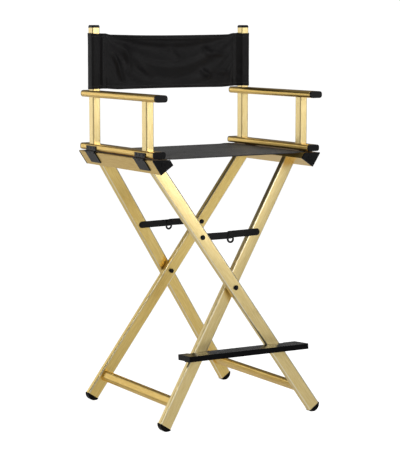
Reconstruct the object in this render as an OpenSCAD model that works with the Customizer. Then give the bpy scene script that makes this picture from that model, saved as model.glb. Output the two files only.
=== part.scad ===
// Tall folding director chair: two crossed, splayed leg frames, two upright
// side frames hinged to the seat rails, folding side braces, a cloth seat and
// back, and a push-on footrest. Millimetres, +Z up, the sitter faces -Y, and
// the origin is on the floor under the middle of the whole chair. Left is -X,
// as seen from in front of the chair.

/* [Overall] */
// Height of the top of the back posts above the floor
overall_h = 1170; // [1130:1:1200]
// Distance between the centres of the left and right posts
post_span = 537; // [525:1:545]
// Height of the top of the lower side rails
rail_top_z = 812.5; // [808:0.5:820]
// Height of the top of the armrests
arm_top_z = 973.5; // [950:0.5:975]

/* [Leg frames] */
// Tilt of each leg from upright, in degrees
leg_tilt = 33.66; // [33:0.01:34]
// Height of the pivot where the legs cross
pivot_z = 398; // [394:0.5:402]
// Half the depth between the outer frame's legs at the pivot
outer_half_y = 201; // [201:0.5:204]
// Half the depth between the inner frame's legs at the pivot
inner_half_y = 175.5; // [172:0.5:175.5]
// How far each leg moves outward in depth for each millimetre down
splay = 0.107; // [0.095:0.001:0.115]
// Width of the leg tube
leg_w = 41; // [38:0.5:41.5]
// Depth of the leg tube
leg_d = 19.5; // [18:0.5:19.5]
// Wall of all the tubes
wall = 1.6; // [1.2:0.1:2]
// Height of the lower stretchers' centre line
stretcher_z = 75.5; // [70:0.5:90]

/* [Side frames] */
// Width of a post
post_w = 25; // [23:0.5:25]
// Depth of a post
post_d = 28; // [24:0.5:28]
// Distance of each front post from the middle
post_front_y = 159; // [155:1:165]
// Distance of each rear post from the middle
post_y = 165; // [160:1:168]
// Width of the armrest and of the lower rail
arm_w = 40; // [38:0.5:40]
// Thickness of the armrest
arm_h = 20.5; // [19:0.5:21]
// Thickness of the lower rail
rail_h = 19.5; // [18:0.5:20]

/* [Cloth] */
// Height of the lower edge of the back cloth
back_low_z = 977.5; // [976:0.5:990]
// Height of the upper edge of the back cloth
back_top_z = 1145; // [1120:1:1150]
// Thickness of the cloth
cloth_t = 2; // [1:0.1:2.2]

/* [Footrest] */
// Length of the footrest board
board_l = 392; // [370:1:400]
// Depth of the footrest board
board_d = 88; // [80:1:96]
// Thickness of the footrest board
board_t = 16; // [14:0.5:18]

/* [Hidden] */
// values of "side": the outer leg frame has its top to -X, the inner one to +X
outer = -1;
inner = 1;
left = -1;
right = 1;
// values of "end"
front = -1;
rear = 1;

tilt_cos = cos(leg_tilt);
tilt_sin = sin(leg_tilt);
tilt_tan = tilt_sin/tilt_cos;
lean = atan(splay);               // each leg's lean in depth
side_x = post_span/2;

// A leg frame's own axes start at the pivot: u runs across the legs, outboard
// at the top, and w runs up along them.
function frame_w(z) = (z - pivot_z)/tilt_cos;          // w at u = 0 and height z
function half_depth(side) = side < 0 ? outer_half_y : inner_half_y;
function leg_y(side, w) = half_depth(side) - splay*w;  // a leg's distance from the middle
function leg_x(side, z) = -side*(pivot_z - z)*tilt_tan;

// hinge axis of a side frame, in the chair and in a leg frame
hinge_x = side_x + 25;
hinge_z = rail_top_z - rail_h - 3;
hinge_u = hinge_x*tilt_cos - (hinge_z - pivot_z)*tilt_sin;
hinge_w = hinge_x*tilt_sin + (hinge_z - pivot_z)*tilt_cos;

// seat rail
seat_rail_top_z = hinge_z - 1.2;
seat_rail_outer_u = hinge_u - 0.5;
seat_rail_inner_u = -21;
seat_rail_low_w = hinge_w - 52;
seat_rail_half = 224;
function seat_rail_top_w(u) = frame_w(seat_rail_top_z) + u*tilt_tan;

// rod that holds the seat cloth in the seat rail
rod_u = -6;
rod_w = seat_rail_top_w(rod_u) - 9;

// rounded feet
foot_r = 22.5;
foot_centre_w = frame_w(22);
leg_end_w = foot_centre_w - 8.5;  // end of the leg tube, where the foot starts

stretcher_w = frame_w(stretcher_z);

// open brace
brace_half = 102.5;               // half its span
brace_w = brace_half/tilt_sin;    // place of its bolts along the legs
link_l = brace_half*norm([tilt_cos, tilt_sin/cos(lean)]);
link_angle = atan2(tilt_sin/cos(lean), tilt_cos);
link_t = 1.4;
link_y = leg_d/2 + 0.2;           // near face of a link, from the leg's middle

bolt_r = 3.95;
bore_r = 4.0;

gold = [0.80, 0.64, 0.34];
black = [0.03, 0.03, 0.035];
steel = [0.05, 0.05, 0.055];
cloth_back = [0.035, 0.033, 0.036];
cloth_seat = [0.09, 0.09, 0.095];

$fn = 48;

// ---------- shared shapes ----------

// rounded rectangle, centred
module round_rect(w, h, r) {
  square([w - 2*r, h], center = true);
  square([w, h - 2*r], center = true);
  for (x = [-1, 1], y = [-1, 1]) translate([x*(w/2 - r), y*(h/2 - r)]) circle(r);
}

// cross-section of a tube
module tube_outline(w, h, r) {
  difference() {
    round_rect(w, h, r);
    round_rect(w - 2*wall, h - 2*wall, r - wall);
  }
}

// width of a plug that slips into a tube of the given width
function plug_fit(width) = width - 2*wall - 0.6;
plug_l = 14;

// cylinder along Y between y0 and y1, in either order
module y_cylinder(r, y0, y1) {
  translate([0, min(y0, y1), 0]) rotate([-90, 0, 0]) cylinder(r = r, h = abs(y1 - y0));
}

// cone from y towards -Y
module y_cone(y, h, r1, r2) {
  translate([0, y, 0]) rotate([90, 0, 0]) cylinder(r1 = r1, r2 = r2, h = h);
}

// flat shape drawn in X and Z, between y0 and y1 in either order
module y_plate(y0, y1) {
  translate([0, max(y0, y1), 0]) rotate([90, 0, 0]) linear_extrude(abs(y1 - y0)) children();
}

// bolt head that rises from y towards -Y
module bolt_head(y) {
  disc_h = 2;
  head_r = 7.3;
  y_cone(y, disc_h, head_r, head_r);
  y_cone(y - disc_h, 2.2, head_r, 4);
}

// things drawn for the +X side, mirrored for the -X side
module to_side(side) {
  mirror([side < 0 ? 1 : 0, 0, 0]) children();
}

// a leg frame's own axes, tilted into place
module leg_frame(side) {
  translate([0, 0, pivot_z]) to_side(side) rotate([0, leg_tilt, 0]) children();
}

// the axes of one leg at w along its frame, leaned in depth
module leg_axes(side, end, w) {
  translate([0, end*leg_y(side, w), w]) rotate([end*lean, 0, 0]) children();
}

// turns +Y to the face a brace lies on: the inside of the outer frame's legs
// and the outside of the inner frame's
module brace_face(side, end) {
  mirror([0, side*end > 0 ? 0 : 1, 0]) children();
}

// ---------- leg frame pieces ----------

module leg(side, end) {
  pivot_y = end*half_depth(side);
  cut = 300;
  color(gold) leg_frame(side) difference() {
    translate([0, pivot_y, 0]) rotate([end*lean, 0, 0]) translate([0, 0, -540])
      linear_extrude(1100) tube_outline(leg_w, leg_d, 5);
    for (w = [seat_rail_low_w, leg_end_w - cut]) translate([-60, -400, w]) cube([120, 800, cut]);
    y_cylinder(bore_r, pivot_y - 30, pivot_y + 30);
    leg_axes(side, end, brace_w) y_cylinder(bore_r, -30, 30);
  }
}

// an oval tube between the legs, set upright in the frame and cut to their slope
module stretcher(side) {
  cut = 300;
  near = leg_d/2 + 0.05;
  color(gold) leg_frame(side) difference() {
    translate([0, 0, stretcher_w]) y_plate(-300, 300) tube_outline(22, 34, 10.9);
    for (end = [front, rear]) leg_axes(side, end, stretcher_w)
      translate([-60, end > 0 ? -near : near - cut, -60]) cube([120, cut, 120]);
  }
}

// round ends with a plug up into each leg, cut flat at the floor
module feet(side) {
  half_t = leg_d/2 + 0.5;
  color(black) difference() {
    leg_frame(side) for (end = [front, rear])
      translate([0, end*leg_y(side, leg_end_w), leg_end_w]) union() {
        y_plate(-half_t, half_t) difference() {
          translate([0, foot_centre_w - leg_end_w]) circle(foot_r);
          translate([-30, 0]) square([60, 40]);
        }
        rotate([end*lean, 0, 0]) translate([0, 0, -4])
          linear_extrude(16) round_rect(plug_fit(leg_w), plug_fit(leg_d) - 0.2, 2.5);
      }
    translate([-500, -500, -60]) cube([1000, 1000, 60]);
  }
}

// cross-section of the seat rail in u and w, shrunk by inset
module seat_rail_outline(inset) {
  u0 = seat_rail_inner_u + inset;
  u1 = seat_rail_outer_u - inset;
  low = seat_rail_low_w + inset;
  drop = inset*1.2;  // inset of the sloping top, measured along w
  difference() {
    polygon([[u0, low], [u1, low],
      [u1, seat_rail_top_w(u1) - drop], [u0, seat_rail_top_w(u0) - drop]]);
    translate([hinge_u, hinge_w]) circle(4.1);   // room for the hinge knuckles
  }
}

module seat_rail(side) {
  slot_w = 2.8;
  color(gold) leg_frame(side) y_plate(-seat_rail_half, seat_rail_half) difference() {
    seat_rail_outline(0);
    // lightening channel
    translate([12, seat_rail_low_w + 15]) round_rect(22, 22, 4);
    // keyhole slot that holds the cloth's rod
    translate([rod_u, rod_w]) circle(4.6);
    translate([rod_u - slot_w/2, rod_w]) square([slot_w, 40]);
  }
}

// end caps, each with a raised ring
module rail_caps(side) {
  face_y = seat_rail_half + 4;
  color(black) leg_frame(side) for (end = [front, rear]) {
    y_plate(end*seat_rail_half, end*face_y) seat_rail_outline(-0.4);
    translate([4, 0, seat_rail_low_w + 20]) difference() {
      y_cylinder(8, end*face_y, end*(face_y + 1));
      y_cylinder(4.2, -face_y - 4, face_y + 4);
    }
  }
}

module seat_rod(side) {
  color(steel) leg_frame(side) translate([rod_u, 0, rod_w]) y_cylinder(3, -200, 200);
}

// bolts a brace turns on, square to the leg's slope
module brace_bolts(side) {
  half_leg = leg_d/2;
  color(steel) leg_frame(side) for (end = [front, rear]) leg_axes(side, end, brace_w)
    brace_face(side, end) {
      y_cylinder(bolt_r, -half_leg - 0.1, half_leg + 2.15);
      bolt_head(-half_leg - 0.1);
      y_cylinder(5.5, half_leg + 2.1, half_leg + 2.5);
    }
}

// ---------- hinges ----------

hinge_y = 150;                // middle of a hinge
leaf_l = 60;
leaf_t = 2.6;
knuckle_l = leaf_l/5;
knuckle_r = 3.5;
knuckle_gap = 0.25;           // clearance at each end of a knuckle
lower_knuckles = [1, 3];
upper_knuckles = [0, 2, 4];
function knuckle_y(i) = -leaf_l/2 + i*knuckle_l;

module knuckles(places) {
  for (i = places)
    y_cylinder(knuckle_r, knuckle_y(i) + knuckle_gap, knuckle_y(i + 1) - knuckle_gap);
}

// room for the other leaf's knuckles
module knuckle_rooms(places, x, z, w, h) {
  for (i = places) translate([x, knuckle_y(i) - knuckle_gap, z])
    cube([w, knuckle_l + 2*knuckle_gap, h]);
}

module pin_bore() {
  y_cylinder(1.6, -40, 40);
}

// the leaves on the seat rail's slanted outer face
module rail_leaves(side) {
  leaf_h = 40;
  color(black) leg_frame(side) for (end = [front, rear]) translate([0, end*hinge_y, 0])
    difference() {
      union() {
        translate([seat_rail_outer_u, -leaf_l/2, hinge_w - leaf_h]) cube([leaf_t, leaf_l, leaf_h]);
        translate([hinge_u, 0, hinge_w]) knuckles(lower_knuckles);
      }
      knuckle_rooms(upper_knuckles, seat_rail_outer_u - 10, hinge_w - 4.4, 30, 30);
      translate([hinge_u, 0, hinge_w]) pin_bore();
      translate([hinge_u + knuckle_r + 0.1, -50, hinge_w - 60]) cube([10, 100, 100]);
    }
}

// the leaves on the lower rail's outer face, with three low studs each
module side_leaves(side) {
  face_x = side_x + arm_w/2;
  color(black) to_side(side) for (end = [front, rear]) translate([0, end*hinge_y, 0])
    difference() {
      union() {
        translate([face_x, -leaf_l/2, hinge_z]) cube([leaf_t, leaf_l, rail_h - 2]);
        translate([hinge_x, 0, hinge_z]) knuckles(upper_knuckles);
        for (y = [-20, 0, 20]) translate([face_x + leaf_t, y, hinge_z + 11])
          rotate([0, 90, 0]) cylinder(r1 = 3.4, r2 = 2.4, h = 1);
      }
      knuckle_rooms(lower_knuckles, hinge_x - 10, hinge_z - 10, 20, 14.2);
      translate([hinge_x, 0, hinge_z]) pin_bore();
    }
}

module hinge_pins(side) {
  half_l = leaf_l/2 + 1;
  color(steel) translate([side*hinge_x, 0, hinge_z]) for (end = [front, rear])
    translate([0, end*hinge_y, 0]) y_cylinder(1.55, -half_l, half_l);
}

// ---------- braces ----------

// axes of an open brace link: the bolt is at the origin, the middle joint at x = -link_l
module brace_axes(side, end) {
  leg_frame(side) leg_axes(side, end, brace_w) rotate([0, -link_angle, 0])
    brace_face(side, end) children();
}

module brace_link(side, end) {
  half_w = 10.5;
  color(steel) brace_axes(side, end) y_plate(link_y, link_y + link_t) difference() {
    union() {
      translate([-link_l, -half_w]) square([link_l, 2*half_w]);
      circle(half_w);
      translate([-link_l, 0]) circle(half_w);
    }
    circle(bore_r);
  }
}

// the eye that is pulled up to fold the chair, on the outer frame's link
module brace_ring(end) {
  eye_drop = 11.6;
  color(steel) brace_axes(outer, end) translate([-link_l, 0, 0])
    rotate([0, link_angle - leg_tilt, 0]) y_plate(link_y - 2.3, link_y - 0.1) difference() {
      union() {
        translate([0, -eye_drop]) circle(12);
        circle(7);
      }
      translate([0, -eye_drop]) circle(6.2);
    }
}

module brace_rivet(side, end) {
  color(steel) brace_axes(side, end) translate([-link_l, 0, 0])
    y_cone(link_y - (side == outer ? 2.4 : 0.1), 1.6, 5, 3);
}

// ---------- pivots ----------

// bolts through both legs, heads outside and hexagonal nuts inside
module pivot_bolts() {
  head_y = -(outer_half_y + leg_d/2 + 1.1);
  nut_y = -(inner_half_y - leg_d/2 - 1.1);
  nut_h = 4.5;
  color(steel) translate([0, 0, pivot_z]) for (end = [front, rear])
    mirror([0, end > 0 ? 1 : 0, 0]) {
      y_cylinder(bolt_r, head_y, nut_y + 6);
      bolt_head(head_y);
      y_cone(nut_y + nut_h, nut_h, 7.4, 7.4, $fn = 6);
    }
}

module pivot_spacers() {
  // the legs lean, so a round spacer between them is a little shorter than the gap
  half_l = (outer_half_y - inner_half_y - leg_d)/2 - 1.05;
  color(black) translate([0, 0, pivot_z]) for (end = [front, rear]) {
    y = end*(outer_half_y + inner_half_y)/2;
    difference() {
      y_cylinder(9, y - half_l, y + half_l);
      y_cylinder(bore_r, y - 8, y + 8);
    }
  }
}

// ---------- side frames ----------

rail_end_y = 221;
rail_r = 7;                       // corner radius of the lower rail
arm_front_y = -230;
arm_rear_y = 214;
arm_r = 8.5;                      // corner radius of the armrest
rail_mid_z = rail_top_z - rail_h/2;
arm_mid_z = arm_top_z - arm_h/2;
cap_h = 8;                        // height of the post cap above the tube

module lower_rail(side) {
  color(gold) translate([side*side_x, 0, rail_mid_z])
    y_plate(-rail_end_y, rail_end_y) tube_outline(arm_w, rail_h, rail_r);
}

// plugs in both ends of a tube from y0 to y1; the front one's head is front_t thick
module end_plugs(side, z, h, y0, y1, front_t, r) {
  color(black) translate([side*side_x, 0, z]) {
    y_plate(y0 - front_t, y0) round_rect(arm_w, h, r);
    y_plate(y0, y0 + plug_l) round_rect(plug_fit(arm_w), plug_fit(h), r - wall);
    y_plate(y1, y1 + 3) round_rect(arm_w, h, r);
    y_plate(y1 - plug_l, y1) round_rect(plug_fit(arm_w), plug_fit(h), r - wall);
  }
}

module rail_plugs(side) {
  end_plugs(side, rail_mid_z, rail_h, -rail_end_y, rail_end_y, front_t = 5, r = rail_r);
}

module arm_plugs(side) {
  end_plugs(side, arm_mid_z, arm_h, arm_front_y, arm_rear_y, front_t = 8, r = arm_r);
}

// a post that stands on the lower rail
module post(side, y, top_z) {
  color(gold) translate([side*side_x, y, rail_top_z])
    linear_extrude(top_z - rail_top_z) tube_outline(post_w, post_d, 3.2);
}

module front_post(side) {
  post(side, -post_front_y, arm_top_z - arm_h);
}

module rear_post(side) {
  post(side, post_y, overall_h - cap_h);
}

// the rear post passes through the armrest
module armrest(side) {
  color(gold) translate([side*side_x, 0, arm_mid_z]) difference() {
    y_plate(arm_front_y, arm_rear_y) tube_outline(arm_w, arm_h, arm_r);
    translate([0, post_y, -40]) linear_extrude(80) round_rect(post_w + 0.5, post_d + 0.5, 3.4);
  }
}

// stepped cap with a plug down into the rear post
module post_cap(side) {
  step_h = 2.5;
  color(black) translate([side*side_x, post_y, overall_h]) {
    translate([0, 0, -cap_h])
      linear_extrude(cap_h - step_h) round_rect(post_w + 1, post_d + 1, 3.6);
    translate([0, 0, -step_h]) linear_extrude(step_h) round_rect(post_w - 2, post_d - 2, 3);
    translate([0, 0, -cap_h - plug_l])
      linear_extrude(plug_l) round_rect(plug_fit(post_w), plug_fit(post_d), 1.4);
  }
}

// ---------- cloth ----------

seam_x = 231;                     // seam between the back cloth and its sleeve
cloth_gap = 0.5;                  // gap at the middle and at the seam
back_h = back_top_z - back_low_z;

// the cloth's pocket round a rear post, and the doubled strip up to its seam
module back_sleeve(side) {
  strip_t = 3.2;
  color(cloth_back) to_side(side) translate([0, 0, back_low_z]) linear_extrude(back_h)
    difference() {
      union() {
        translate([side_x, post_y]) round_rect(post_w + 5.4, post_d + 5.4, 5);
        translate([seam_x, post_y - strip_t/2]) square([side_x - seam_x, strip_t]);
      }
      translate([side_x, post_y]) round_rect(post_w + 0.6, post_d + 0.6, 3.4);
    }
}

module back_cloth(side) {
  color(cloth_back) to_side(side) translate([cloth_gap, post_y - cloth_t/2, back_low_z])
    cube([seam_x - 2*cloth_gap, cloth_t, back_h]);
}

// rests on the seat rails' flat tops, under the lower rails
module seat_cloth(side) {
  color(cloth_seat) to_side(side) translate([cloth_gap, -203, seat_rail_top_z + 0.3])
    cube([252.5, 421, cloth_t]);
}

// ---------- footrest ----------

// the board's middle
board_y = -leg_y(outer, frame_w(218)) - 35;
board_z = 214;
board_r = 6;                      // corner radius
// the outer frame's leg stands further forward, so the board lies turned against both legs
board_turn = atan((outer_half_y - inner_half_y)/(2*leg_x(outer, board_z)));
clip_t = 8;
clip_z = -board_t/2 - clip_t;     // underside of the clips in the board's axes

// the board leans down to the rear, square to the legs' lean in depth
module board_axes() {
  translate([0, board_y, board_z]) rotate([-lean, 0, 0]) children();
}

// y of a front leg's front face, from the board's middle
function leg_face_y(side) = -leg_y(side, frame_w(board_z)) - leg_d/2 - board_y;

// a leg's notch through t of height, from y0 to the open rear; it is wider outboard
// and follows the leg's slope
module notch(t, outboard, y0) {
  half_w = (leg_w + t*tilt_sin)/tilt_cos/2 + 0.9;
  drift = sin(lean)*tilt_tan;     // sideways shift for each millimetre in y
  y1 = y0 + 80;
  polygon([
    [outboard*(y0*drift - half_w), y0],
    [outboard*(y0*drift + half_w + 2.6), y0],
    [outboard*(y1*drift + half_w + 4), y1],
    [outboard*(y1*drift - half_w), y1]]);
}

module footrest_outline() {
  difference() {
    translate([-2, 0]) rotate(-board_turn) round_rect(board_l, board_d, board_r);
    for (side = [outer, inner]) translate([leg_x(side, board_z), 0])
      notch(board_t, -side, leg_face_y(side) - 2.2);
  }
}

module footrest_board() {
  color(black) board_axes() {
    translate([0, 0, -board_t/2]) linear_extrude(board_t) footrest_outline();
  }
}

// saddles screwed under the board, one at each front leg
module footrest_clips() {
  drop = (board_t + clip_t)/2;    // from the board's middle to the clips' middle
  color(black) board_axes() for (side = [outer, inner])
    translate([0, 0, clip_z]) linear_extrude(clip_t) difference() {
      translate([leg_x(side, board_z) - side*11, leg_face_y(side) - 4]) round_rect(82, 22, 3);
      translate([leg_x(side, board_z) - side*drop*tilt_tan, 0])
        notch(clip_t, -side, leg_face_y(side) - 2.6);
    }
}

module footrest_screws() {
  color(steel) board_axes() for (side = [outer, inner], x = [-24, 24])
    translate([leg_x(side, board_z) + x, leg_face_y(side) - 11, clip_z])
      rotate([180, 0, 0]) cylinder(r1 = 3.6, r2 = 2.4, h = 1.6);
}

// ---------- nodes ----------

// depth of the chair from the board's front to the rear feet, used to centre it
board_reach = (board_l/2 - board_r)*sin(board_turn)
  + (board_d/2 - board_r)*cos(board_turn) + board_r;
chair_front_y = board_y - board_reach*cos(lean) - board_t/2*sin(lean);
chair_rear_y = leg_y(outer, leg_end_w) + leg_d/2 + 0.6;

module centred() {
  translate([0, -(chair_front_y + chair_rear_y)/2, 0]) children();
}

centred() pivot_bolts();
centred() pivot_spacers();
centred() leg(outer, front);  // outer_leg_front
centred() leg(outer, rear);  // outer_leg_rear
centred() stretcher(outer);  // outer_stretcher
centred() feet(outer);  // outer_feet
centred() seat_rail(outer);  // outer_seat_rail
centred() rail_caps(outer);  // outer_rail_caps
centred() rail_leaves(outer);  // outer_hinge_leaves
centred() brace_bolts(outer);  // outer_brace_bolts
centred() seat_rod(outer);  // outer_seat_rod
centred() leg(inner, front);  // inner_leg_front
centred() leg(inner, rear);  // inner_leg_rear
centred() stretcher(inner);  // inner_stretcher
centred() feet(inner);  // inner_feet
centred() seat_rail(inner);  // inner_seat_rail
centred() rail_caps(inner);  // inner_rail_caps
centred() rail_leaves(inner);  // inner_hinge_leaves
centred() brace_bolts(inner);  // inner_brace_bolts
centred() seat_rod(inner);  // inner_seat_rod
centred() seat_cloth(left);  // left_seat_cloth
centred() seat_cloth(right);  // right_seat_cloth
centred() lower_rail(left);  // left_lower_rail
centred() rail_plugs(left);  // left_rail_plugs
centred() front_post(left);  // left_front_post
centred() rear_post(left);  // left_rear_post
centred() armrest(left);  // left_armrest
centred() arm_plugs(left);  // left_arm_plugs
centred() post_cap(left);  // left_post_cap
centred() side_leaves(left);  // left_hinge_leaves
centred() hinge_pins(left);  // left_hinge_pins
centred() back_sleeve(left);  // left_back_sleeve
centred() lower_rail(right);  // right_lower_rail
centred() rail_plugs(right);  // right_rail_plugs
centred() front_post(right);  // right_front_post
centred() rear_post(right);  // right_rear_post
centred() armrest(right);  // right_armrest
centred() arm_plugs(right);  // right_arm_plugs
centred() post_cap(right);  // right_post_cap
centred() side_leaves(right);  // right_hinge_leaves
centred() hinge_pins(right);  // right_hinge_pins
centred() back_sleeve(right);  // right_back_sleeve
centred() back_cloth(left);  // left_back_cloth
centred() back_cloth(right);  // right_back_cloth
centred() brace_link(left, front);  // front_brace_link_left
centred() brace_link(right, front);  // front_brace_link_right
centred() brace_link(left, rear);  // rear_brace_link_left
centred() brace_link(right, rear);  // rear_brace_link_right
centred() brace_ring(front);  // front_brace_ring
centred() brace_ring(rear);  // rear_brace_ring
centred() brace_rivet(left, front);  // front_brace_rivet_left
centred() brace_rivet(right, front);  // front_brace_rivet_right
centred() brace_rivet(left, rear);  // rear_brace_rivet_left
centred() brace_rivet(right, rear);  // rear_brace_rivet_right
centred() footrest_board();
centred() footrest_clips();
centred() footrest_screws();
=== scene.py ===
# A tall folding chair: crossed gold tube legs, canvas seat and back, and a footrest.
# X runs across the chair (left is -X), the front faces -Y, Z is up. Lengths are in metres.
# The CAD pieces get their finishes; the seat cloth, back cloth and post sleeves are built anew.
import math
import bpy
import numpy as np
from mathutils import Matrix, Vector


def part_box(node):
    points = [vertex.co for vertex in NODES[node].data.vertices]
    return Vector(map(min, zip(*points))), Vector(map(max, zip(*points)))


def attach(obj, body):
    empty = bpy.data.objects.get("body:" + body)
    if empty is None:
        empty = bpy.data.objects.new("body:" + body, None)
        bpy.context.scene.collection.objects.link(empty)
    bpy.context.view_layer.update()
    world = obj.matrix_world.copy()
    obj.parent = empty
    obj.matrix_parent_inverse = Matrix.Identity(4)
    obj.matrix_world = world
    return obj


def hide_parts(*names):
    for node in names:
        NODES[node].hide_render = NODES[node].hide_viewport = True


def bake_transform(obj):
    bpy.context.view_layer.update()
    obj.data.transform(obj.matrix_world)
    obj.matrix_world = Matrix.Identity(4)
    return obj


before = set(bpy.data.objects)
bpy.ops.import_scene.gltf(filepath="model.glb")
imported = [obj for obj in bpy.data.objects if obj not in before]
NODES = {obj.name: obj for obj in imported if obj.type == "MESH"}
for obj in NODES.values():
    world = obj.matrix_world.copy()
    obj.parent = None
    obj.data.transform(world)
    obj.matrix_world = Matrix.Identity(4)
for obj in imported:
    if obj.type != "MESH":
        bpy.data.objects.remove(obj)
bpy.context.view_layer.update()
scene = bpy.context.scene


def add_object(name, data):
    obj = bpy.data.objects.new(name, data)
    scene.collection.objects.link(obj)
    return obj


# ------------------------------------------------------------------ shader graphs
class Graph:
    """Adds nodes to one emptied node tree. Values may be numbers, vectors or output sockets."""

    def __init__(self, tree):
        self.tree = tree
        tree.nodes.clear()

    def put(self, socket, value):
        if isinstance(value, bpy.types.NodeSocket):
            self.tree.links.new(value, socket)
        else:
            socket.default_value = value

    def fill(self, node, inputs):
        for key, value in inputs.items():
            self.put(node.inputs[key], value)

    def node(self, kind, inputs=None, **settings):
        node = self.tree.nodes.new("ShaderNode" + kind)
        for key, value in settings.items():
            setattr(node, key, value)
        self.fill(node, inputs or {})
        return node

    def math(self, operation, a, b=0.0, clamp=False):
        return self.node("Math", {0: a, 1: b}, operation=operation, use_clamp=clamp).outputs[0]

    def add(self, a, b, clamp=False):
        return self.math("ADD", a, b, clamp)

    def sub(self, a, b):
        return self.math("SUBTRACT", a, b)

    def mul(self, a, b, clamp=False):
        return self.math("MULTIPLY", a, b, clamp)

    def dot(self, a, b):
        return self.node("VectorMath", {0: a, 1: b}, operation="DOT_PRODUCT").outputs["Value"]

    def scaled(self, vector, scale):
        node = self.node("VectorMath", {0: vector, "Scale": scale}, operation="SCALE")
        return node.outputs["Vector"]

    def coords(self, kind="Object"):
        return self.node("TexCoord").outputs[kind]

    def along(self, vector, direction, long, cross):
        """Coordinates with a different scale along a direction, for grain that runs with it."""
        extra = self.mul(self.dot(vector, direction), long - cross)
        parts = {0: self.scaled(vector, cross), 1: self.scaled(direction, extra)}
        return self.node("VectorMath", parts, operation="ADD").outputs["Vector"]

    def noise(self, vector, scale, detail=3.0, rough=0.55):
        inputs = {"Vector": vector, "Scale": scale, "Detail": detail, "Roughness": rough}
        return self.node("TexNoise", inputs).outputs["Fac"]

    def remap(self, value, span, to):
        inputs = {"Value": value, "From Min": span[0], "From Max": span[1],
                  "To Min": to[0], "To Max": to[1]}
        return self.node("MapRange", inputs).outputs[0]

    def mix(self, factor, *colours):
        """Mixes two colours, each a socket or red, green and blue."""
        node = self.node("Mix", data_type="RGBA")
        self.put(node.inputs["Factor"], factor)
        for socket, colour in zip([i for i in node.inputs if i.type == "RGBA"], colours):
            is_socket = isinstance(colour, bpy.types.NodeSocket)
            self.put(socket, colour if is_socket else (*colour, 1.0))
        return [o for o in node.outputs if o.type == "RGBA"][0]

    def bevel(self, radius):
        return self.node("Bevel", {"Radius": radius}, samples=4).outputs[0]

    def bump(self, height, strength, distance, normal=None):
        node = self.node("Bump", {"Strength": strength, "Distance": distance, "Height": height})
        if normal is not None:
            self.put(node.inputs["Normal"], normal)
        return node.outputs[0]

    def edge(self, radius, gain):
        """1 on a sharp edge, 0 on a flat: how far a rounded normal leaves the true one."""
        true_normal = self.node("NewGeometry").outputs["True Normal"]
        return self.mul(self.sub(1.0, self.dot(self.bevel(radius), true_normal)), gain, clamp=True)


def new_material(name):
    material = bpy.data.materials.new(name)
    material.use_nodes = True
    g = Graph(material.node_tree)
    output = g.node("OutputMaterial")
    shader = g.node("BsdfPrincipled")
    g.put(output.inputs[0], shader.outputs[0])
    return material, g, shader


# ------------------------------------------------------------------ materials
# Darker and lighter end of each tube colour. The three tones are lit and shaded copies of one gold:
# the pale one is a painted highlight, the full one painted shade, the mid one between.
GOLD_FULL = ((0.80, 0.520, 0.125), (0.88, 0.625, 0.195))     # parts that run front to back
GOLD_MID = ((0.87, 0.625, 0.195), (0.94, 0.715, 0.265))      # rear legs
GOLD_PALE_LIT = ((0.86, 0.660, 0.275), (0.92, 0.745, 0.365))     # front legs and posts
GOLD_DARKEN = 0.93           # deepens the darker end
GOLD_EDGE_HIGHLIGHT = (0.98, 0.86, 0.58)
# The next two give a painted highlight: a pale line inset from each broad face's corner.
GOLD_HIGHLIGHT_LINE = (0.98, 0.90, 0.70)
HIGHLIGHT_LINE_INSET = 0.0030          # from a broad face's corner to its pale line
CROWN_SLOPE = 0.032          # how convex a broad face looks
PLASTIC_EDGE_HIGHLIGHT = (0.12, 0.12, 0.123)


def gold(name, direction, tone, crown=None):
    """Satin anodised tube: grain drawn along it, small grit, soft smudges and a painted highlight
    on sharp edges.
    crown = (direction across a broad face, its middle, half width): shades it slightly convex and
    paints a highlight line near its corners."""
    material, g, shader = new_material(name)
    place = g.coords()
    direction = tuple(Vector(direction).normalized())
    fine = g.noise(g.along(place, direction, long=9.0, cross=900.0),
                   scale=1.0, detail=4.0, rough=0.6)
    grit = g.noise(place, scale=1100.0, detail=2.0)
    smudge = g.noise(place, scale=11.0)
    coarse = g.noise(g.along(place, direction, long=30.0, cross=270.0), scale=1.0, rough=0.7)
    drawn = g.add(g.mul(fine, 0.45), g.mul(coarse, 0.55))
    dark = [GOLD_DARKEN * c for c in tone[0]]
    colour = g.mix(g.remap(drawn, span=(0.39, 0.61), to=(0.0, 1.0)), dark, tone[1])
    # painted highlight: sharp edges are paled towards a light gold
    colour = g.mix(g.mul(g.edge(radius=0.0011, gain=2.6), 0.55), colour, GOLD_EDGE_HIGHLIGHT)
    normal = g.bevel(radius=0.0007)
    if crown:
        across, middle, half_width = crown
        # a painted highlight: a pale line where a broad face turns into the corner
        reach = g.math("ABSOLUTE", g.sub(g.dot(place, across), middle))
        gap = g.math("ABSOLUTE", g.sub(reach, half_width - HIGHLIGHT_LINE_INSET))
        line = g.remap(gap, span=(0.0008, 0.0018), to=(0.85, 0.0))
        colour = g.mix(line, colour, GOLD_HIGHLIGHT_LINE)
        offset = g.sub(g.dot(place, across), middle)
        dome = g.mul(g.mul(offset, offset), -CROWN_SLOPE / (2 * half_width))
        normal = g.bump(dome, strength=1.0, distance=1.0, normal=normal)
    relief = g.add(g.mul(fine, 0.6), g.mul(grit, 0.4))
    g.fill(shader, {
        "Base Color": colour,
        "Metallic": 0.95,
        "Coat Weight": 0.15,
        "Coat Roughness": 0.14,
        "Roughness": g.add(g.remap(smudge, span=(0.3, 0.7), to=(0.25, 0.29)), g.mul(grit, 0.06)),
        "Normal": g.bump(relief, strength=0.08, distance=0.0003, normal=normal),
    })
    return material


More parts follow.
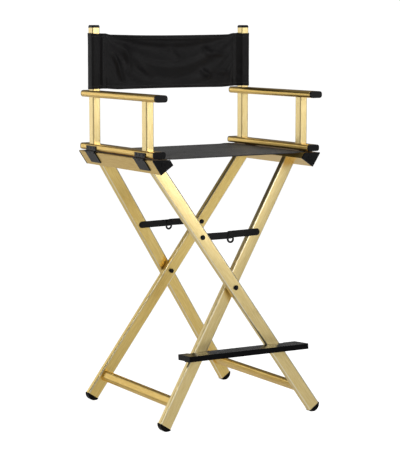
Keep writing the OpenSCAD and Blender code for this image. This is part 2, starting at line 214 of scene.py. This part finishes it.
def plastic(name, base, rough, grain, edge, spec, grain_scale=None, streak=None):
    """Dark smooth surface; its grain is even (grain_scale) or drawn along streak.
    grain is the bump strength and edge the strength of a painted highlight on sharp edges."""
    material, g, shader = new_material(name)
    place = g.coords()
    if streak:
        texture = g.noise(g.along(place, streak, long=60.0, cross=900.0), scale=1.0)
    else:
        texture = g.noise(place, scale=grain_scale, rough=0.6)
    patches = g.noise(g.coords(), scale=18.0)
    light = [min(1.0, c * 1.9 + 0.002) for c in base]
    colour = g.mix(g.remap(texture, span=(0.35, 0.7), to=(0.0, 0.8)), base, light)
    # painted highlight: sharp edges are paled towards a grey
    colour = g.mix(g.mul(g.edge(radius=0.0013, gain=2.4), edge), colour, PLASTIC_EDGE_HIGHLIGHT)
    g.fill(shader, {
        "Base Color": colour,
        "Specular IOR Level": spec,
        "Roughness": g.remap(patches, span=(0.3, 0.7), to=(rough - 0.05, rough + 0.07)),
        "Coat Roughness": 0.18,
        "Normal": g.bump(texture, strength=grain, distance=0.0004, normal=g.bevel(0.0009)),
    })
    return material


def fabric(name, dark, light, rough, sheen, pitch, weave, spec, rib=None):
    """Plain weave drawn from the cloth's UVs in metres, with slubs and uneven threads.
    pitch is the weave's repeat, weave its bump strength, rib = (rib pitch, colour change)."""
    material, g, shader = new_material(name)
    uv = g.coords("UV")
    axes = g.node("SeparateXYZ", {0: uv}).outputs

    def wave(axis, repeat):
        return g.math("SINE", g.mul(axes[axis], 2 * math.pi / repeat))

    threads = g.mul(wave(0, pitch), wave(1, pitch))
    slub_u, slub_v = [g.noise(g.along(uv, way, long=25.0, cross=1400.0), scale=1.0)
                      for way in ((1.0, 0.0, 0.0), (0.0, 1.0, 0.0))]
    slub = g.mul(g.add(slub_u, slub_v), 0.5)
    patches = g.noise(uv, scale=14.0, detail=4.0)
    tone = g.add(g.remap(slub, span=(0.35, 0.65), to=(0.15, 0.75)), g.mul(threads, 0.12))
    tone = g.add(tone, g.remap(patches, span=(0.3, 0.7), to=(-0.12, 0.12)))
    height = g.add(g.mul(threads, 0.5), slub)
    if rib:
        rib_pitch, rib_colour = rib
        ribs = wave(1, rib_pitch)
        tone = g.add(tone, g.mul(ribs, rib_colour))
        height = g.add(height, g.mul(ribs, 0.6))
    tone = g.add(tone, 0.0, clamp=True)
    g.fill(shader, {
        "Base Color": g.mix(tone, dark, light),
        "Roughness": g.remap(patches, span=(0.3, 0.7), to=(rough - 0.06, rough + 0.06)),
        "Sheen Weight": sheen,
        "Sheen Roughness": 0.4,
        "Specular IOR Level": spec,
        "Normal": g.bump(height, strength=weave, distance=0.0005),
    })
    return material


def thread(name, colour):
    material, g, shader = new_material(name)
    fuzz = g.noise(g.coords(), scale=2500.0, detail=2.0)
    g.fill(shader, {
        "Base Color": g.mix(fuzz, [c * 0.6 for c in colour], colour),
        "Roughness": 0.6,
        "Sheen Weight": 0.3,
        "Normal": g.bump(fuzz, strength=0.3, distance=0.0003),
    })
    return material


# ------------------------------------------------------------------ finishes of the CAD pieces
LEG_TILT = math.radians(33.66)     # from upright, seen from the front
LEG_RAKE = 0.107                   # how far the legs lean towards the middle in Y


def leg_gold(frame_name, lean, end, to_rear):
    """Gold for one leg. lean is the side (+1 right) it rises to; to_rear is +1 at the rear."""
    name = frame_name + "_leg_" + end
    vertices = NODES[name].data.vertices
    across = (math.cos(LEG_TILT), 0.0, -lean * math.sin(LEG_TILT))
    points = np.zeros(len(vertices) * 3, np.float32)
    vertices.foreach_get("co", points)
    reach = points.reshape(-1, 3) @ np.array(across)
    low, high = float(reach.min()), float(reach.max())
    middle = float(reach.min() + reach.max()) / 2
    direction = (lean * math.sin(LEG_TILT), -to_rear * LEG_RAKE, math.cos(LEG_TILT))
    # painted light: the rear legs get the middle copy of the gold, the front legs the pale lit copy
    tone = GOLD_MID if to_rear > 0 else GOLD_PALE_LIT
    return name, gold("gold_" + frame_name + "_" + end, direction, tone,
                      crown=(across, middle, (high - low) / 2))


LEGS = dict(leg_gold(frame_name, lean, end, to_rear)
            for frame_name, lean in (("outer", -1), ("inner", 1))
            for end, to_rear in (("front", -1), ("rear", 1)))
GOLD_Y = gold("gold_along_y", (0, 1, 0), GOLD_FULL)
# painted highlight: the posts get the pale lit copy of the gold
GOLD_Z = gold("gold_upright", (0, 0, 1), GOLD_PALE_LIT)
BLACK = plastic("moulded_black", (0.0035, 0.0035, 0.0038), rough=0.16, grain=0.10, edge=0.05,
                spec=0.12, grain_scale=1300.0)
STEEL = plastic("black_steel", (0.0048, 0.0048, 0.0052), rough=0.20, grain=0.10, edge=0.16,
                spec=0.15, grain_scale=900.0)
RUBBER = plastic("black_rubber", (0.003, 0.003, 0.003), rough=0.34, grain=0.15, edge=0.02,
                 spec=0.05, grain_scale=700.0)
BOARD = plastic("gloss_board", (0.0030, 0.0030, 0.0034), rough=0.22, grain=0.035, edge=0.06,
                spec=0.06, streak=(1.0, 0.0, 0.0))
BACK = fabric("back_canvas", dark=(0.0022, 0.0019, 0.0023), light=(0.0062, 0.0056, 0.0064),
              rough=0.50, sheen=0.03, pitch=0.0016, weave=0.20, spec=0.20)
SEAT = fabric("seat_canvas", dark=(0.015, 0.0148, 0.0155), light=(0.038, 0.0375, 0.039),
              rough=0.56, sheen=0.16, pitch=0.0018, weave=0.25, spec=0.28, rib=(0.0105, 0.20))
THREAD = thread("sewing_thread", (0.045, 0.044, 0.046))
THREAD_SEAT = thread("seat_thread", (0.10, 0.10, 0.105))


def finish_of(name):
    if name in LEGS:
        return LEGS[name]
    if name.endswith(("_stretcher", "_seat_rail", "_lower_rail", "_armrest")):
        return GOLD_Y
    if name.endswith(("_front_post", "_rear_post")):
        return GOLD_Z
    if name.endswith("_feet"):
        return RUBBER
    if name == "footrest_board":
        return BOARD
    if any(word in name for word in ("brace", "leaves", "bolts", "pins", "rod", "screws")):
        return STEEL
    return BLACK


for name, obj in NODES.items():
    finish = finish_of(name)
    if not obj.data.materials:
        obj.data.materials.append(finish)
    for slot in obj.material_slots:
        slot.link = "OBJECT"
        slot.material = finish


# ------------------------------------------------------------------ cloth meshes
STITCH_LENGTH = 0.0031
STITCH_WIDTH = 0.00045       # half width
STITCH_RISE = 0.00042
# Stations of a stitch: place along it, height, width, each as a share of the full size.
STITCH_STATIONS = (
    (-0.5, -0.5, 0.5), (-0.3, 0.75, 0.95), (0.0, 1.0, 1.0), (0.3, 0.75, 0.95), (0.5, -0.5, 0.5),
)
STITCH_ANGLES = (-90, -30, 30, 90)     # degrees round a station
STITCH_INSET = 0.0015        # from a hem's inner edge out to its stitches
HEM_SOFTNESS = 0.0006        # how gradually a hem's thickness ends


def grid_faces(rows, columns):
    return [(i * columns + j, (i + 1) * columns + j, (i + 1) * columns + j + 1, i * columns + j + 1)
            for i in range(rows - 1) for j in range(columns - 1)]


class Piece:
    """Collects vertices, faces, UVs and material numbers of one piece."""

    def __init__(self):
        self.vertices, self.faces, self.uvs, self.slots = [], [], [], []

    def add(self, vertices, faces, uvs, slot):
        first = len(self.vertices)
        self.vertices.extend(vertices)
        self.uvs.extend(uvs)
        self.faces.extend([tuple(i + first for i in face) for face in faces])
        self.slots.extend([slot] * len(faces))

    def sheet(self, points, normals, uv, half, rims):
        """A (u, v, 3) grid made into cloth; half is the half thickness at each point.
        rims names the closed edges: u0, u1, v0, v1."""
        rows, columns = points.shape[:2]
        count = rows * columns
        rise = normals * half[..., None]
        vertices = np.concatenate([(points + rise).reshape(-1, 3), (points - rise).reshape(-1, 3)])
        faces = []
        for a, b, c, d in grid_faces(rows, columns):
            faces.append((a, b, c, d))
            faces.append((count + d, count + c, count + b, count + a))
        edges = (
            ("u0", range(columns), False),
            ("u1", range(count - columns, count), True),
            ("v0", range(0, count, columns), True),
            ("v1", range(columns - 1, count, columns), False),
        )
        for rim, line, turned in edges:
            if rim in rims:
                for a, b in zip(line, line[1:]):
                    if turned:
                        a, b = b, a
                    faces.append((a, b, count + b, count + a))
        self.add(vertices, faces, np.concatenate([uv.reshape(-1, 2)] * 2), 0)

    def stitch(self, place, direction, normal):
        """One stitch: a low rounded bar whose ends dip into the cloth."""
        place, along, up = (np.asarray(x, float) for x in (place, direction, normal))
        along = along / np.linalg.norm(along)
        up = up - along * (up @ along)
        up = up / np.linalg.norm(up)
        side = np.cross(up, along)
        vertices = []
        for station, height, width in STITCH_STATIONS:
            centre = place + along * STITCH_LENGTH * station
            for angle in STITCH_ANGLES:
                turn = math.radians(angle)
                lift = height * (0.25 + 0.75 * math.cos(turn)) - 0.2
                vertices.append(centre + side * math.sin(turn) * STITCH_WIDTH * width
                                + up * STITCH_RISE * lift)
        ring = len(STITCH_ANGLES)
        faces = []
        for i in range(len(STITCH_STATIONS) - 1):
            for j in range(ring - 1):
                a = i * ring + j
                faces.append((a, a + 1, a + ring + 1, a + ring))
        self.add(vertices, faces, [(0.0, 0.0)] * len(vertices), 1)

    def done(self, name, materials, sharp_angle=38):
        mesh = bpy.data.meshes.new(name)
        mesh.from_pydata([tuple(map(float, v)) for v in self.vertices], [], self.faces)
        mesh.validate()
        mesh.update()
        layer = mesh.uv_layers.new(name="metres")
        corners = np.zeros(len(mesh.loops), np.int32)
        mesh.loops.foreach_get("vertex_index", corners)
        layer.data.foreach_set("uv", np.asarray(self.uvs, np.float32)[corners].ravel())
        for material in materials:
            mesh.materials.append(material)
        mesh.polygons.foreach_set("material_index", np.asarray(self.slots, np.int32))
        mesh.polygons.foreach_set("use_smooth", np.ones(len(mesh.polygons), bool))
        mesh.set_sharp_from_angle(angle=math.radians(sharp_angle))
        mesh.update()
        return add_object(name, mesh)


def grid_normals(points):
    normals = np.cross(np.gradient(points, axis=0), np.gradient(points, axis=1))
    return normals / np.linalg.norm(normals, axis=2, keepdims=True)


def point_at(t, stations, points):
    return np.array([np.interp(t, stations, points[:, k]) for k in range(3)])


def smooth_noise(u, v, seed, waves, per_metre):
    """A seeded sum of waves over u, v in metres; per_metre is their range of frequencies."""
    random = np.random.default_rng(seed)
    low, high = per_metre
    out = np.zeros_like(u)
    total = 0.0
    for _ in range(waves):
        k = math.exp(random.uniform(math.log(low), math.log(high))) * 2 * math.pi
        angle = random.uniform(0, math.pi)
        phase = random.uniform(0, 2 * math.pi)
        out += 1.0 / k * np.sin(k * (u * math.cos(angle) + v * math.sin(angle)) + phase)
        total += 1.0 / k
    return out / total * 2.0


def drape(name, points, pinned, slack, frames, stiff, bend):
    """Runs Blender's cloth on a grid and returns the settled grid; the pinned points stay."""
    rows, columns = points.shape[:2]
    mesh = bpy.data.meshes.new(name)
    mesh.from_pydata([tuple(map(float, p)) for p in points.reshape(-1, 3)], [],
                     grid_faces(rows, columns))
    mesh.update()
    obj = add_object(name, mesh)
    group = obj.vertex_groups.new(name="pin")
    group.add([int(i) for i in np.nonzero(pinned.ravel())[0]], 1.0, "REPLACE")
    cloth = obj.modifiers.new("Cloth", "CLOTH")
    settings = cloth.settings
    settings.quality = 7
    settings.mass = 0.25
    settings.tension_stiffness = stiff
    settings.compression_stiffness = stiff
    settings.shear_stiffness = stiff * 0.4
    settings.bending_stiffness = bend
    settings.air_damping = 3.0
    settings.vertex_group_mass = "pin"
    settings.shrink_min = -slack
    settings.effector_weights.gravity = 1.0
    cloth.collision_settings.use_collision = False
    cloth.point_cache.frame_start = 1
    cloth.point_cache.frame_end = frames
    start = scene.frame_current
    for i in range(1, frames + 1):
        scene.frame_set(i)
    settled = obj.evaluated_get(bpy.context.evaluated_depsgraph_get())
    settled_mesh = settled.to_mesh()
    places = np.zeros(len(settled_mesh.vertices) * 3, np.float32)
    settled_mesh.vertices.foreach_get("co", places)
    settled.to_mesh_clear()
    scene.frame_set(start)
    bpy.data.objects.remove(obj)
    bpy.data.meshes.remove(mesh)
    return places.reshape(rows, columns, 3).astype(float)


def hem(distance, width, extra):
    """Extra half thickness over a hem, by distance from the cloth's edge."""
    return extra * (1 / (1 + np.exp((distance - width) / HEM_SOFTNESS)))


def half_panels(name, points, uv, half, hem_width, hem_extra, stitch_end, stitch_count,
                materials):
    """Splits a cloth grid at x = 0 into a left and a right panel with stitched hems."""
    x, v = uv[:, 0, 0], uv[0, :, 1]
    depth = v[-1] - v[0]
    edge = np.minimum(uv[..., 1] - v[0], v[-1] - uv[..., 1])
    thickness = half + hem(edge, hem_width, hem_extra)
    normals = grid_normals(points)
    middle = len(x) // 2
    stitches = np.linspace(-stitch_end, stitch_end, stitch_count)
    stitch_row = hem_width - STITCH_INSET
    panels = {}
    for side, part, rim, chosen in (
        ("left", slice(0, middle + 1), "u0", stitches < -0.001),
        ("right", slice(middle, len(x)), "u1", stitches > 0.001),
    ):
        piece = Piece()
        piece.sheet(points[part], normals[part], uv[part], thickness[part], (rim, "v0", "v1"))
        for distance in (stitch_row, depth - stitch_row):
            place = distance / depth * (len(v) - 1)
            j = int(place)
            share = place - j
            row = points[:, j] * (1 - share) + points[:, j + 1] * share
            for stitch_x in stitches[chosen]:
                p = point_at(stitch_x, x, row)
                normal = point_at(stitch_x, x, normals[:, j])
                for face in (1, -1):
                    piece.stitch(p + normal * face * (half + hem_extra), (1, 0, 0), normal * face)
        panels[side] = piece.done(side + "_" + name + "_panel", materials)
    return panels


# ------------------------------------------------------------------ back cloth
left_low, left_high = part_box("left_back_cloth")
back_y = (left_low.y + left_high.y) / 2
back_bottom, back_top = left_low.z, left_high.z
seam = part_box("right_back_cloth")[1].x       # where the cloth meets the sleeves
BACK_TUCK = 0.0035                           # how far the cloth runs into a sleeve
BACK_HEM = 0.011

# Soft folds: start x, z, end x, z, width, height.
CREASES = (
    (-0.205, 1.095, -0.165, 1.000, 0.007, 0.0020),
    (-0.165, 1.120, -0.140, 1.030, 0.009, 0.0016),
    (-0.120, 1.060, -0.060, 1.010, 0.010, 0.0014),
    (0.110, 1.112, 0.150, 1.072, 0.010, 0.0015),
    (0.135, 1.088, 0.207, 1.081, 0.008, 0.0013),
    (0.100, 1.040, 0.150, 1.005, 0.009, 0.0016),
    (0.160, 1.032, 0.218, 1.020, 0.009, 0.0011),
    (-0.010, 1.115, 0.030, 1.060, 0.012, 0.0010),
)
CREASE_GAIN = 3.2            # multiplies every crease height


def crease(X, Z, x0, z0, x1, z1, width, height):
    """A soft fold along a line: its height fades at both ends."""
    line = np.array([x1 - x0, z1 - z0])
    length = np.linalg.norm(line)
    dx, dz = line / length
    along = ((X - x0) * dx + (Z - z0) * dz) / length
    aside = -(X - x0) * dz + (Z - z0) * dx
    fade = np.clip(1 - (2 * along - 1) ** 2, 0, 1) ** 1.2
    return height * fade * np.exp(-(aside / width) ** 2)


def back_cloth():
    end = seam + BACK_TUCK
    X, Z = np.meshgrid(np.linspace(-end, end, 125), np.linspace(back_bottom, back_top, 45),
                       indexing="ij")
    # the top edge sags and the bottom edge rises a little between the posts
    bow = 0.0032 * (1 - (X / end) ** 2)
    share = (Z - back_bottom) / (back_top - back_bottom)
    fade = np.clip((end - np.abs(X)) / 0.03, 0, 1)
    Y = back_y + 0.004 * smooth_noise(X, Z, seed=3, waves=16, per_metre=(3.0, 11.0)) * fade
    rest = np.stack([X, Y, Z - bow * share + 0.5 * bow * (1 - share)], -1)
    points = rest.copy()
    points = drape("back_sim", rest, np.abs(X) > seam - 0.002,
                   slack=0.010, frames=26, stiff=18.0, bend=0.9)
    # keep only part of the settled shape, within narrow limits
    points[..., 1] = back_y + np.clip((points[..., 1] - back_y) * 0.4, -0.004, 0.004)
    points[..., 0] = np.clip(points[..., 0], -end, end)
    points[..., 2] = rest[..., 2] + np.clip(points[..., 2] - rest[..., 2], -0.0035, 0.001)
    folds = np.zeros_like(X)
    for row in CREASES:
        folds += crease(X, Z, *row)
    points[..., 1] -= folds * CREASE_GAIN * fade
    return half_panels("back", points, np.stack([X, Z], -1), half=0.00075, hem_width=BACK_HEM,
                       hem_extra=0.0004, stitch_end=end - 0.006, stitch_count=103,
                       materials=[BACK, THREAD])


back = back_cloth()


# ------------------------------------------------------------------ sleeves round the rear posts
SLEEVE_GAP = 0.0027          # from a post's face to the sleeve
SLEEVE_HALF = 0.0006         # half thickness of the cloth
SLEEVE_PITCH = 0.0045        # from stitch to stitch
SEAM_ROWS = (0.0022, 0.0068)     # stitch rows, outboard of the seam


def catmull_rom(c, steps):
    points = []
    for i in range(len(c) - 1):
        p0, p1, p2, p3 = c[max(i - 1, 0)], c[i], c[i + 1], c[min(i + 2, len(c) - 1)]
        for t in np.linspace(0, 1, steps, endpoint=False):
            points.append(0.5 * (2 * p1 + (p2 - p0) * t + (2 * p0 - 5 * p1 + 4 * p2 - p3) * t * t
                                 + (3 * p1 - p0 - 3 * p2 + p3) * t ** 3))
    points.append(c[-1])
    return np.array(points)


def distances(points):
    return np.r_[0, np.cumsum(np.linalg.norm(np.diff(points, axis=0), axis=1))]


def sleeve(side, sign, seed, shift):
    """Cloth from the seam round one rear post and back; sign is -1 on the left."""
    low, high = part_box(side + "_rear_post")
    post_x, post_y = abs(low.x + high.x) / 2, (low.y + high.y) / 2
    w, d = (high.x - low.x) / 2 + SLEEVE_GAP, (high.y - low.y) / 2 + SLEEVE_GAP
    tip = post_x - seam
    # Front half of the outline, seam to outer side: outboard and rearward of the post's middle.
    front = [
        (-tip, -0.0016), (-tip + 0.006, -0.0017), (-tip + 0.013, -0.0028),
        (-w - 0.0008, -d + 0.0062), (-w + 0.003, -d + 0.0012), (-w + 0.009, -d),
        (0.0, -d - 0.0004), (w - 0.006, -d), (w - 0.0015, -d + 0.0018), (w, -d + 0.006),
        (w + 0.0003, 0.0),
    ]
    curve = catmull_rom(np.array(front + [(x, -y) for x, y in front[-2::-1]]), steps=7)
    run = distances(curve)
    length = run[-1]
    around, rows = 97, 57
    s = np.linspace(0, length, around)
    outline = np.stack([np.interp(s, run, curve[:, k]) for k in range(2)], -1)
    tangent = np.gradient(outline, axis=0)
    outward = np.stack([tangent[:, 1], -tangent[:, 0]], -1)
    outward /= np.linalg.norm(outward, axis=1, keepdims=True)
    S, Z = np.meshgrid(s, np.linspace(back_bottom, back_top, rows), indexing="ij")
    wave = smooth_noise(S * 1.2, Z + shift, seed, waves=16, per_metre=(5.0, 22.0))
    free = np.clip(np.minimum(S, length - S) / 0.012, 0, 1)
    # soft folds where the cloth leaves the post
    near = np.exp(-((np.abs(outline[:, 0] + w + 0.004) / 0.012) ** 2))[:, None]
    fold = np.sin((Z - back_bottom) * 95.0 + 3.0 * np.sin(Z * 31.0) + S * 60.0)
    relief = (0.0005 * wave + 0.0005 * near * fold) * free
    x = (post_x + outline[:, 0][:, None] + outward[:, 0][:, None] * relief) * sign
    y = post_y + outline[:, 1][:, None] + outward[:, 1][:, None] * relief
    # the top and bottom edges wander a little
    share = (Z - back_bottom) / (back_top - back_bottom)
    dip = 0.0012 * np.sin(S / length * math.pi * 2.0 + 0.6) * free
    z = Z + dip * np.where(share > 0.5, -1, 1) * np.abs(2 * share - 1)
    points = np.stack([x, y, z], -1)
    if sign < 0:
        points = points[::-1]
        S = S[::-1]
    normals = grid_normals(points)
    # outward is away from the post's middle
    from_post = points - np.array([post_x * sign, post_y, 0.0])
    flip = float(np.sum(normals[..., :2] * from_post[..., :2])) < 0
    if flip:
        normals = -normals
    edge = np.minimum(Z - back_bottom, back_top - Z)
    piece = Piece()
    piece.sheet(points - normals * SLEEVE_HALF, normals, np.stack([S, Z], -1),
                SLEEVE_HALF + hem(edge, BACK_HEM, 0.00025), ("u0", "u1", "v0", "v1"))
    if flip:
        piece.faces = [tuple(reversed(face)) for face in piece.faces]
    # two rows of stitches down the seam, on the front and the rear layer
    half = around // 2
    for inset in SEAM_ROWS:
        depth = np.interp(-tip + inset, outline[:half, 0], np.abs(outline[:half, 1]))
        for layer in (-1, 1):
            for height in np.arange(back_bottom + 0.004, back_top - 0.003, SLEEVE_PITCH):
                piece.stitch(((seam + inset) * sign, post_y + layer * (depth + 0.0001), height),
                             (0, 0, 1), (0, layer, 0))
    # one row round each hem
    stitch_row = BACK_HEM - STITCH_INSET
    for height in (back_bottom + stitch_row, back_top - stitch_row):
        j = int(round((height - back_bottom) / (back_top - back_bottom) * (rows - 1)))
        arc = distances(points[:, j])
        for a in np.arange(0.009, arc[-1] - 0.008, SLEEVE_PITCH):
            p = point_at(a, arc, points[:, j])
            normal = point_at(a, arc, normals[:, j])
            ahead = point_at(a + 0.001, arc, points[:, j])
            piece.stitch(p + normal * 0.00025, ahead - p, normal)
    return piece.done(side + "_back_pocket", [BACK, THREAD], sharp_angle=50)


sleeves = {"left": sleeve("left", -1, seed=12, shift=0.0),
           "right": sleeve("right", 1, seed=11, shift=0.3)}


# ------------------------------------------------------------------ seat cloth
RAIL_INNER = 0.2345          # the cloth is held beyond this x


def seat_cloth():
    low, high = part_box("right_seat_cloth")
    end, front, rear = high.x, low.y, high.y
    level = (low.z + high.z) / 2
    X, Y = np.meshgrid(np.linspace(-end, end, 129), np.linspace(front, rear, 89), indexing="ij")
    free = np.clip((RAIL_INNER - np.abs(X)) / 0.03, 0, 1)
    wave = smooth_noise(X * 0.8, Y, seed=21, waves=14, per_metre=(1.5, 7.0))
    rest = np.stack([X, Y, level + 0.0012 * wave * free], -1)
    settled = rest
    settled = drape("seat_sim", rest, np.abs(X) > RAIL_INNER,
                    slack=0.0015, frames=24, stiff=40.0, bend=1.5)
    # keep only part of the settled height, within narrow limits
    drop = np.clip((settled[..., 2] - level) * 0.35, -0.0018, 0.0006)
    points = rest.copy()
    points[..., 2] = level + drop * free ** 0.5 - 0.0004 * (1 - free)
    # the free front and rear edges draw in a touch between the rails
    pull = np.clip(1 - (Y - front) / 0.06, 0, 1) - np.clip(1 - (rear - Y) / 0.06, 0, 1)
    points[..., 1] += 0.0022 * (1 - (X / end) ** 2) * pull
    return half_panels("seat", points, np.stack([X, Y], -1), half=0.0008, hem_width=0.014,
                       hem_extra=0.0005, stitch_end=RAIL_INNER - 0.004, stitch_count=104,
                       materials=[SEAT, THREAD_SEAT])


seat = seat_cloth()

for side, legs, x in (("left", "outer_legs", -1), ("right", "inner_legs", 1)):
    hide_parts(side + "_seat_cloth")
    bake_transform(seat[side])
    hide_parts(side + "_back_cloth")
    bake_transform(back[side])
    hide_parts(side + "_back_sleeve")
    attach(sleeves[side], side + "_side")


# ------------------------------------------------------------------ floor
FOOT_X = 0.25038             # middle of the outer frame's round front foot
FOOT_Z = 0.022
FLOOR_DEPTH = 0.0221         # from the foot's middle down to the floor
FLOOR_REACH = 30.0


def build_floor():
    """A pale floor that follows the height of a mark in the outer frame's front foot."""
    mark = add_object("floor_mark", None)
    mark.location = (FOOT_X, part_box("outer_feet")[0].y + 0.01, FOOT_Z)
    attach(mark, "outer_legs")
    mesh = bpy.data.meshes.new("floor")
    corners = ((-1, -1), (1, -1), (1, 1), (-1, 1))
    mesh.from_pydata([(x * FLOOR_REACH, y * FLOOR_REACH, -FLOOR_DEPTH) for x, y in corners],
                     [], [(0, 1, 2, 3)])
    floor = add_object("floor", mesh)
    material, g, shader = new_material("pale_floor")
    mottle = g.noise(g.coords(), scale=3.0, detail=4.0)
    seen = g.node("LightPath").outputs["Is Camera Ray"]
    g.fill(shader, {
        "Base Color": g.mix(mottle, (0.80, 0.80, 0.80), (0.84, 0.84, 0.84)),
        "Roughness": 0.9,
        "Specular IOR Level": 0.1,
        "Emission Color": (1, 1, 1, 1),
        "Emission Strength": g.remap(seen, span=(0.0, 1.0), to=(0.25, 0.90)),
    })
    mesh.materials.append(material)
    follow = floor.constraints.new("COPY_LOCATION")
    follow.target = mark
    follow.use_x = follow.use_y = False
    follow.use_z = True


build_floor()


# ------------------------------------------------------------------ world, lights and camera
def build_world():
    """A white studio: brighter to the front right and overhead, with a dim patch front left.
    The camera itself sees plain white."""
    world = bpy.data.worlds.new("studio")
    scene.world = world
    world.use_nodes = True
    g = Graph(world.node_tree)
    direction = g.coords("Generated")
    bright = g.dot(direction, (0.42, -0.85, 0.30))
    up = g.dot(direction, (0, 0, 1))
    dim = g.dot(direction, (-0.55, -0.83, 0.10))
    strength = g.add(g.remap(bright, span=(-0.9, 1.0), to=(0.12, 0.19)),
                     g.remap(up, span=(0.1, 1.0), to=(0.0, 0.04)))
    strength = g.sub(strength, g.remap(dim, span=(0.80, 1.0), to=(0.0, 0.12)))
    soft = g.node("Background", {"Color": (1, 0.995, 0.985, 1), "Strength": strength})
    plain = g.node("Background", {"Color": (1, 1, 1, 1), "Strength": 1.05})
    seen = g.node("LightPath").outputs["Is Camera Ray"]
    mixed = g.node("MixShader", {0: seen, 1: soft.outputs[0], 2: plain.outputs[0]})
    g.node("OutputWorld", {0: mixed.outputs[0]})


# Area lights: name, place, target, width and height, watts.
LIGHTS = (
    ("key", (1.3, -3.6, 2.1), (0.1, -0.1, 0.9), (1.5, 1.7), 26),
    ("front_right", (1.35, -2.5, 1.25), (0, 0, 0.7), (1.4, 1.3), 8),
    ("back_left", (-1.7, 2.7, 1.2), (0, 0, 0.6), (1.5, 1.5), 7),
    ("strip_left", (-2.6, -1.9, 2.4), (0, 0, 0.7), (0.35, 1.4), 22),
    ("top", (0.2, 0.4, 4.2), (0, 0, 0.6), (2.0, 2.0), 11),
    ("rim", (3.2, 2.4, 2.2), (0, 0, 0.7), (1.0, 1.6), 6),
)
CAMERA_PLACE = (-2.463735, -3.967840, 1.166718)
CAMERA_DIRECTION = (0.52090018, 0.84367272, -0.12992053)
SENSOR_WIDTH = 36.0          # millimetres
FOCAL_LENGTH = 121.706153    # millimetres


def facing(direction):
    return Vector(direction).to_track_quat("-Z", "Y").to_euler()


def area_light(name, place, target, size, power):
    light = bpy.data.lights.new(name, "AREA")
    light.shape = "RECTANGLE"
    light.size, light.size_y = size
    light.energy = power
    obj = add_object(name, light)
    obj.location = place
    obj.rotation_euler = facing(Vector(target) - Vector(place))
    obj.visible_camera = False


def build_camera():
    camera = bpy.data.cameras.new("camera")
    camera.sensor_width = SENSOR_WIDTH
    camera.sensor_fit = "AUTO"
    camera.lens = FOCAL_LENGTH
    camera.clip_start, camera.clip_end = 0.05, 100.0
    obj = add_object("camera", camera)
    obj.location = CAMERA_PLACE
    obj.rotation_euler = facing(CAMERA_DIRECTION)
    scene.camera = obj


scene.view_settings.view_transform = "Standard"
scene.view_settings.look = "None"
build_world()
for row in LIGHTS:
    area_light(*row)
build_camera()
